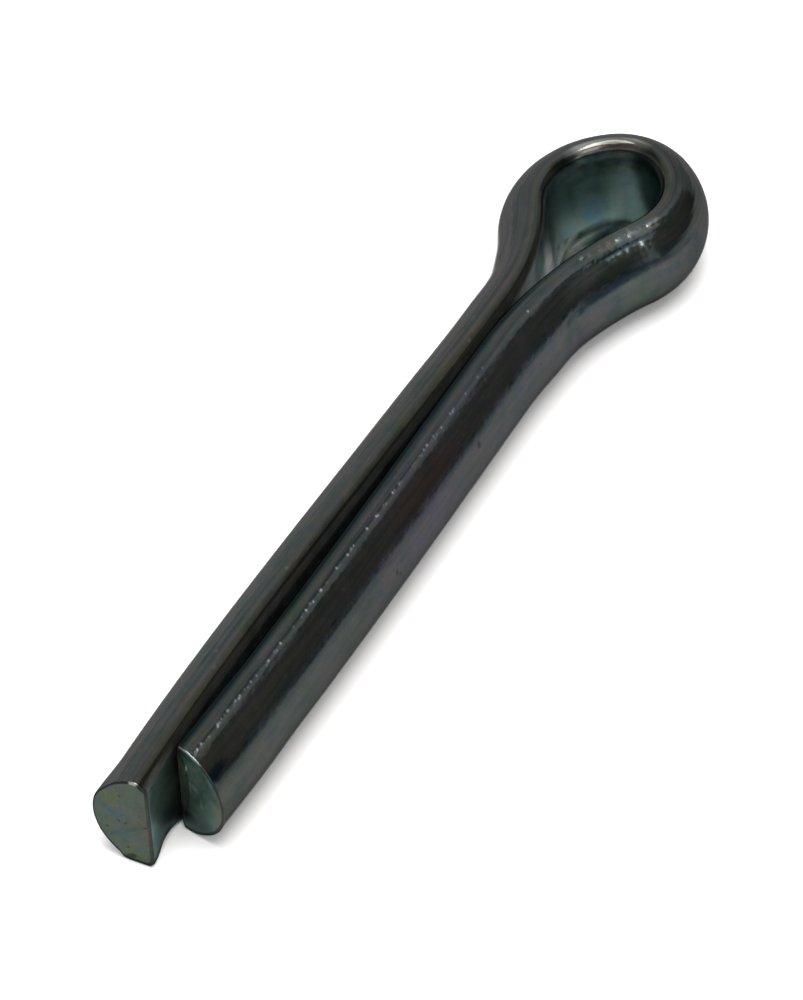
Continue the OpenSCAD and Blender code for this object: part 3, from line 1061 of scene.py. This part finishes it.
# painted light on the wall's foot, then a line of painted shadow above it
colour = tinted(tree, mask["foot_painted_light"], colour, FOOT_LIGHT_COLOUR, "MIX")
colour = tinted(tree, remap(tree, mask["foot_painted_shadow"], 0, 1, 0, FOOT_SHADOW_SHARE), colour, FOOT_SHADOW_TINT)
print("the wire's colour takes", len(tree.nodes), "nodes so far")

# %% [markdown]
# ## The sheared faces
# A cut face is plated too, but its torn grain holds a duller, greener film, with a rubbed strip
# where the blade left the metal. A glint and a lighter patch beside the strip are painted light, and
# the strip's outline and the pits are painted shade. Each face could have its own material. As one
# mask says where the cuts are, it is simpler to work out their colour apart and lay it over the wire's.

# %% Colour the sheared faces
LONG_FACE = (0.060, 0.076, 0.064)
SHORT_FACE = (0.084, 0.134, 0.114)
STRIP_PLACE = (172, 0, 0.5)
STRIP_SIZE = (1, 1.55, 5.3)
STRIP_TINT = (2.3, 1.75, 1.62)
# painted shade along the strip's outline
STRIP_OUTLINE_SHADE = (0.40, 0.36, 0.36)
OUTLINE_FADE = (0.26, 0.38, 0, 1)
STRIP_FADE = (0.38, 0.56, 0, 1)
# painted shade in the face's pits
FACE_PIT_SHADE = (0.1, 0.1, 0.1)
PIT_FADE = (0.05, 0.16, 0.6, 0)
face_colour = stained(tinted(tree, at_short, LONG_FACE, SHORT_FACE, "MIX"), FACE_STAINS.values())
strip = stain_mask(STRIP_PLACE, STRIP_SIZE)
face_colour = tinted(tree, remap(tree, strip, *OUTLINE_FADE), face_colour, STRIP_OUTLINE_SHADE)
face_colour = tinted(tree, remap(tree, strip, *STRIP_FADE), face_colour, STRIP_TINT)
for pit in FACE_PITS:
    away = add(tree, "VectorMath", operation="DISTANCE")
    away.inputs[1].default_value = pit
    tree.links.new(place, away.inputs[0])
    in_pit = remap(tree, away.outputs["Value"], *PIT_FADE)
    face_colour = tinted(tree, in_pit, face_colour, FACE_PIT_SHADE)
colour = tinted(tree, mask["cut_face"], colour, face_colour, "MIX")
print("with the faces it takes", len(tree.nodes), "nodes")

# %% Colour the rims of the cuts
# painted shade on the rounds of the cut rims and on the rolled rims, with painted highlights at two spots
RIM_SHADE_COLOUR = (0.010, 0.010, 0.009)
RIM_FADE = (0.2, 0.8, 0, 0.85)
ROLLED_SHADE_COLOUR = (0.022, 0.024, 0.021)
ROLLED_FADE = (0.1, 0.7, 0, 0.9)
rim_shade_and_highlight = RIM_SHADE_COLOUR
for centre, size, spot_colour in RIM_SPOTS.values():
    rim_shade_and_highlight = tinted(tree, stain_mask(centre, size), rim_shade_and_highlight, spot_colour, "MIX")
colour = tinted(tree, remap(tree, mask["cut_edge"], *RIM_FADE), colour, rim_shade_and_highlight, "MIX")
colour = tinted(tree, remap(tree, mask["rolled"], *ROLLED_FADE), colour, ROLLED_SHADE_COLOUR, "MIX")
print("with the rims it takes", len(tree.nodes), "nodes")

# %% [markdown]
# ## Mottling, draw lines and grain
# Close up, the film is never one flat tint. Noise stretched along the wire gives the die's lines, and
# rounder noise the mottling and blotches. Under the eye the bending tool rubbed across the wire, so
# there the streaks run round it. Noise is read from the place on the straight wire, which bends it
# round the eye with the metal.

# %% Mottle and streak the plate
MOTTLE_SIZE = (3.5, 1.4, 1.4)
LINE_SIZE = (20, 0.30, 0.30)
STREAK_SIZE = (1.5, 6, 5)
BLOTCH_SIZE = (1.6, 0.8, 0.8)
FINE_SIZE = (0.14, 0.10, 0.10)
MARKS_BY_TURN = (0.30, 0.45, 0.4, 1)
MARKS_LESS_ON_FLAT = -0.5
MARKS_MORE_ACROSS = 0.3
MOTTLE_TINTS = [(0.30, (0.80, 0.90, 0.84)), (0.50, (1, 1, 1)), (0.70, (1.08, 1.0, 1.12))]
MARK_TINTS = [(0.30, (0.70, 0.75, 0.79)), (0.50, (1, 1, 1)), (0.68, (1.12, 1.10, 1.07))]
BLOTCH_TINTS = [(0.33, (0.86, 0.94, 1.02)), (0.50, (1, 1, 1)), (0.67, (1.12, 1.03, 0.96))]
FINE_TINTS = [(0.30, (0.88, 0.88, 0.88)), (0.70, (1.12, 1.12, 1.12))]
mottle = grain(tree, place, MOTTLE_SIZE, 3.0)
colour = tinted(tree, 1.0, colour, ramp(tree, mottle, MOTTLE_TINTS))
lines = grain(tree, place, LINE_SIZE, 3.0)
streaks = grain(tree, place, STREAK_SIZE)
marks = blended(tree, mask["across"], lines, streaks)
strength = plus(tree, remap(tree, turn, *MARKS_BY_TURN), mask["flat_side"], MARKS_LESS_ON_FLAT)
strength = plus(tree, strength, mask["across"], MARKS_MORE_ACROSS)
colour = tinted(tree, strength, colour, ramp(tree, marks, MARK_TINTS))
blotches = grain(tree, place, BLOTCH_SIZE, 3.0)
colour = tinted(tree, 1.0, colour, ramp(tree, blotches, BLOTCH_TINTS))
fine = grain(tree, place, FINE_SIZE)
colour = tinted(tree, 1.0, colour, ramp(tree, fine, FINE_TINTS))
print("with the grain it takes", len(tree.nodes), "nodes")

# %% Paint shade into the marks, and highlights onto the beads, glints and specks
# painted shade for the crease, the seam and the pits
MARK_SHADE_TINT = (0.30, 0.32, 0.36)
MARK_SHADE_FADE = (0.15, 0.8, 0, 0.65)
# painted highlight for the beads, glints and light specks
PAINTED_HIGHLIGHT_COLOUR = (0.32, 0.345, 0.355)
SPARKLES_PER_MM = 2.4
# painted glints: pale dots of colour scattered over the bruise
PAINTED_SPARKLE_COLOUR = (0.225, 0.215, 0.195)
SPARKLE_FADE = (0.10, 0.34, 0.55, 0)
SPARKLES_MISSING = (0.35, 0.60, 1, 0)
SPARKLES_END = (0.1, 0.6, 1, 0)
SPARKLES_SHOW = (0, 0.55, 0, 0.6)
TAKE_OFF = -0.6
SPARKLING = [((101.0, 1.5, 4.3), (4.4, 0.75, 0.7)), ((101.8, 2.5, 3.7), (3.6, 0.6, 0.6))]
colour = tinted(tree, remap(tree, mask["painted_shade_marks"], *MARK_SHADE_FADE), colour, MARK_SHADE_TINT)
colour = tinted(tree, mask["bright"], colour, PAINTED_HIGHLIGHT_COLOUR, "MIX")
cells = add(tree, "TexVoronoi", Scale=SPARKLES_PER_MM)
tree.links.new(place, cells.inputs["Vector"])
speck = remap(tree, cells.outputs["Distance"], *SPARKLE_FADE)
speck = plus(tree, speck, remap(tree, cells.outputs["Color"], *SPARKLES_MISSING), TAKE_OFF)
for centre, size in SPARKLING:
    here = plus(tree, speck, remap(tree, stain_mask(centre, size), *SPARKLES_END), TAKE_OFF)
    colour = tinted(tree, remap(tree, here, *SPARKLES_SHOW), colour, PAINTED_SPARKLE_COLOUR, "MIX")
tree.links.new(colour, skin_shader.inputs["Base Color"])
print("the whole colour takes", len(tree.nodes), "nodes")

# %% Gloss and micro relief
GRAZING = [(0.60, (0.55, 0.55, 0.55)), (0.72, (0.46, 0.46, 0.46)), (0.80, (0.33, 0.33, 0.33)),
           (0.88, (0.1, 0.1, 0.1))]
PLATE_ROUGHNESS = (0.3, 0.7, 0.10, 0.16)
ROUGHER = {"cut_face": 0.30, "flat_side": 0.22, "foot_painted_light": 0.15, "worn_edge": 0.30}
LINE_BUMP = 0.0000045
GRAIN_BUMP = 0.0000035
skin_shader.inputs["Metallic"].default_value = 1.0
facing = add(tree, "LayerWeight", Blend=0.5).outputs["Facing"]
tree.links.new(ramp(tree, facing, GRAZING), skin_shader.inputs["Specular Tint"])
roughness = remap(tree, mottle, *PLATE_ROUGHNESS)
for name, amount in ROUGHER.items():
    roughness = plus(tree, roughness, mask[name], amount)
tree.links.new(roughness, skin_shader.inputs["Roughness"])
line_bump = add(tree, "Bump", Strength=1.0, Distance=LINE_BUMP)
tree.links.new(marks, line_bump.inputs["Height"])
grain_bump = add(tree, "Bump", Strength=1.0, Distance=GRAIN_BUMP)
tree.links.new(fine, grain_bump.inputs["Height"])
tree.links.new(line_bump.outputs["Normal"], grain_bump.inputs["Normal"])
tree.links.new(grain_bump.outputs["Normal"], skin_shader.inputs["Normal"])
mesh.materials.append(zinc)
print("the finish has", len(tree.nodes), "nodes")

# %% [markdown]
# ## The camera
# The pin lies on its side, and the camera looks down on it across the short leg, from a long way
# off, so the legs hardly narrow towards the eye. A constraint could aim it, but it also has a slight
# tilt. So its place is given as one would set up a tripod: how far round the object it stands, how
# high, how much it is tilted, and how far away it is.

# %% Set up the camera
CAMERA_ROUND = 119.733
CAMERA_HIGH = 43.521
CAMERA_TILT = -3.213
CAMERA_AWAY = 479.4
LOOKS_AT = Vector((17.51, 0.733, 0)) * MM
FRAME_HEIGHT = 1000
FOCAL_IN_PIXELS = 5813.12
SENSOR = 36.0
CLIP_END = 20

azimuth, elevation, tilt = np.radians([CAMERA_ROUND, CAMERA_HIGH, CAMERA_TILT])
back = Vector((np.sin(azimuth) * np.cos(elevation), -np.cos(azimuth) * np.cos(elevation), np.sin(elevation)))
level_right = Vector((np.cos(azimuth), np.sin(azimuth), 0))
level_up = back.cross(level_right)
right = level_right * np.cos(tilt) + level_up * np.sin(tilt)
up = level_up * np.cos(tilt) - level_right * np.sin(tilt)
lens = bpy.data.cameras.new("camera")
lens.sensor_width = SENSOR
lens.lens = FOCAL_IN_PIXELS * SENSOR / FRAME_HEIGHT
lens.clip_end = CLIP_END
camera = bpy.data.objects.new("camera", lens)
turned = Matrix((right, up, back)).transposed().to_4x4()
camera.matrix_world = Matrix.Translation(LOOKS_AT + back * CAMERA_AWAY * MM) @ turned
bpy.context.scene.collection.objects.link(camera)
bpy.context.scene.camera = camera
print("the lens is", round(lens.lens), "mm")

# %% [markdown]
# ## The floor and the light
# The pin lies on a white sheet. Zinc plate is a mirror with a soft edge, so what it shows is mostly
# the room: the white sheet in its lower sides, a pale room above, and one dark card that stands
# beyond the pin and draws the long dark band along its shoulder. The card could be an object, but
# then it would block light as well. As a patch of the world's colour it is only seen by reflection.
# A soft lamp overhead catches the rim of the eye, the bruise and the beads, which also carry painted
# highlights in their colour.

# %% Lay the floor
FLOOR_SIDE = 3.0
PAPER_WHITE = 0.80
PAPER_ROUGHNESS = 0.9
low = float(vertices[:, 2].min()) * MM
half = FLOOR_SIDE / 2
floor_mesh = bpy.data.meshes.new("floor")
corners = [(-half, -half, low), (half, -half, low), (half, half, low), (-half, half, low)]
floor_mesh.from_pydata(corners, [], [(0, 1, 2, 3)])
paper = bpy.data.materials.new("white_paper")
paper.use_nodes = True
paper_skin = paper.node_tree.nodes["Principled BSDF"]
paper_skin.inputs["Base Color"].default_value = (*[PAPER_WHITE] * 3, 1)
paper_skin.inputs["Roughness"].default_value = PAPER_ROUGHNESS
paper_skin.inputs["Specular IOR Level"].default_value = 0.0
floor_mesh.materials.append(paper)
floor = bpy.data.objects.new("floor", floor_mesh)
bpy.context.scene.collection.objects.link(floor)
print("the floor lies at", round(low / MM, 2), "mm")


# %% Hang the lamps
def direction(azimuth_deg, elevation_deg):
    """The unit vector that points so far round from +X and so high above the floor."""
    round_way, high = np.radians([azimuth_deg, elevation_deg])
    return Vector((np.cos(round_way) * np.cos(high), np.sin(round_way) * np.cos(high), np.sin(high)))


def soft_box(name, azimuth_deg, elevation_deg, away, width, height, radiance, colour):
    """A rectangular lamp that faces the origin from that direction and distance, in metres.

    Its power is pi times its area times how bright its face is."""
    data = bpy.data.lights.new(name, "AREA")
    data.shape = "RECTANGLE"
    data.size = width
    data.size_y = height
    data.energy = np.pi * width * height * radiance
    data.color = colour
    lamp = bpy.data.objects.new(name, data)
    way = direction(azimuth_deg, elevation_deg)
    lamp.location = way * away
    lamp.rotation_euler = way.to_track_quat("Z", "Y").to_euler()
    bpy.context.scene.collection.objects.link(lamp)
    return lamp


soft_box("overhead", 70, 83, away=1.0, width=0.68, height=0.68, radiance=7, colour=(1, 0.98, 0.94))
soft_box("window", 70, 38, away=1.0, width=0.35, height=0.5, radiance=3, colour=(1, 1, 1))

# %% Surround the pin with the room
ROOM = 1.22
DIM_PLACE = (160, 8, 34, 10)
CARD_PLACE = (125, 15, 37, 33.5)
DIM_SIDE = (0.85, 0.85, 0.82)
CARD_SHADES = [
    (0.048, (0.95, 0.95, 0.95)), (0.060, (0.27, 0.30, 0.35)), (0.15, (0.29, 0.29, 0.29)),
    (0.45, (0.36, 0.35, 0.315)), (0.70, (0.40, 0.385, 0.355)),
]
world = bpy.data.worlds.new("studio")
bpy.context.scene.world = world
world.use_nodes = True
sky = world.node_tree
sky.nodes.clear()
way_out = add(sky, "TexCoord").outputs["Generated"]
height_out = add(sky, "SeparateXYZ")
sky.links.new(way_out, height_out.inputs[0])


def patch(azimuth_deg, elevation_deg, outer_deg, inner_deg):
    """1 within the inner angle of a direction, and 0 beyond the outer one."""
    toward = add(sky, "VectorMath", operation="DOT_PRODUCT")
    toward.inputs[1].default_value = direction(azimuth_deg, elevation_deg)
    sky.links.new(way_out, toward.inputs[0])
    edges = np.cos(np.radians([outer_deg, inner_deg]))
    return remap(sky, toward.outputs["Value"], edges[0], edges[1], 0, 1)


shade = tinted(sky, patch(*DIM_PLACE), (ROOM, ROOM, ROOM), DIM_SIDE, "MIX")
shade = tinted(sky, patch(*CARD_PLACE), shade, ramp(sky, height_out.outputs["Z"], CARD_SHADES), "MIX")
glow = add(sky, "Background")
sky.links.new(shade, glow.inputs["Color"])
sky.links.new(glow.outputs["Background"], add(sky, "OutputWorld").inputs["Surface"])
bpy.context.scene.view_settings.view_transform = "Standard"
print("the room has a card of", len(CARD_SHADES), "shades")
